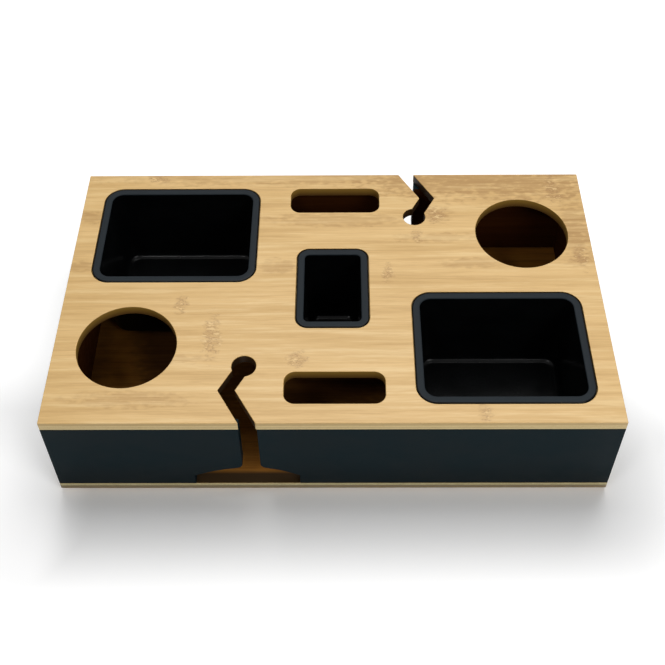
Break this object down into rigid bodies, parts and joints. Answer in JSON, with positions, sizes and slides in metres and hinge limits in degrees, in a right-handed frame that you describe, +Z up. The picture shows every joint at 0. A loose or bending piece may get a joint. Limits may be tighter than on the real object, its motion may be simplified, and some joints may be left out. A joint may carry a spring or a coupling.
{
  "type": "sofa arm tray",
  "caption": "Box-shaped wooden organizer tray for a sofa arm, with lift-out bins, round cup holes, phone slots and zig-zag cable slits.",
  "frame": {"origin": "middle of the footprint, on the surface that the pads stand on", "axes": "+X along the length to the right, +Y towards the back, +Z up"},
  "size_m": [0.45, 0.268, 0.101],
  "materials": {
    "bamboo": "clear-coated bamboo ply, satin",
    "painted_board": "satin black paint outside and on cut edges, bare board inside",
    "bin_plastic": "black moulded plastic, satin rim and glossy inside",
    "dowel_wood": "bare beech",
    "screw_steel": "zinc-plated",
    "pad_rubber": "matt"
  },
  "bodies": {
    "carcass": {"top_panel": "bamboo", "base_panel": "bamboo", "front_wall_left": "painted_board", "front_wall_right": "painted_board", "back_wall_left": "painted_board", "back_wall_right": "painted_board", "left_side_wall": "painted_board", "right_side_wall": "painted_board", "corner_dowels": "dowel_wood", "panel_dowels": "dowel_wood", "base_screws": "screw_steel", "front_left_grip_pad": "pad_rubber", "front_right_grip_pad": "pad_rubber", "back_left_grip_pad": "pad_rubber", "back_right_grip_pad": "pad_rubber"},
    "left_bin": {"left_bin": "bin_plastic"},
    "right_bin": {"right_bin": "bin_plastic"},
    "centre_bin": {"centre_bin": "bin_plastic"}
  },
  "joints": [
    {"name": "left_bin_lift", "type": "slide", "parent": "carcass", "child": "left_bin", "axis": [0, 0, 1], "range_m": [0, 0.088]},
    {"name": "right_bin_lift", "type": "slide", "parent": "carcass", "child": "right_bin", "axis": [0, 0, 1], "range_m": [0, 0.088]},
    {"name": "centre_bin_lift", "type": "slide", "parent": "carcass", "child": "centre_bin", "axis": [0, 0, 1], "range_m": [0, 0.088]}
  ]
}
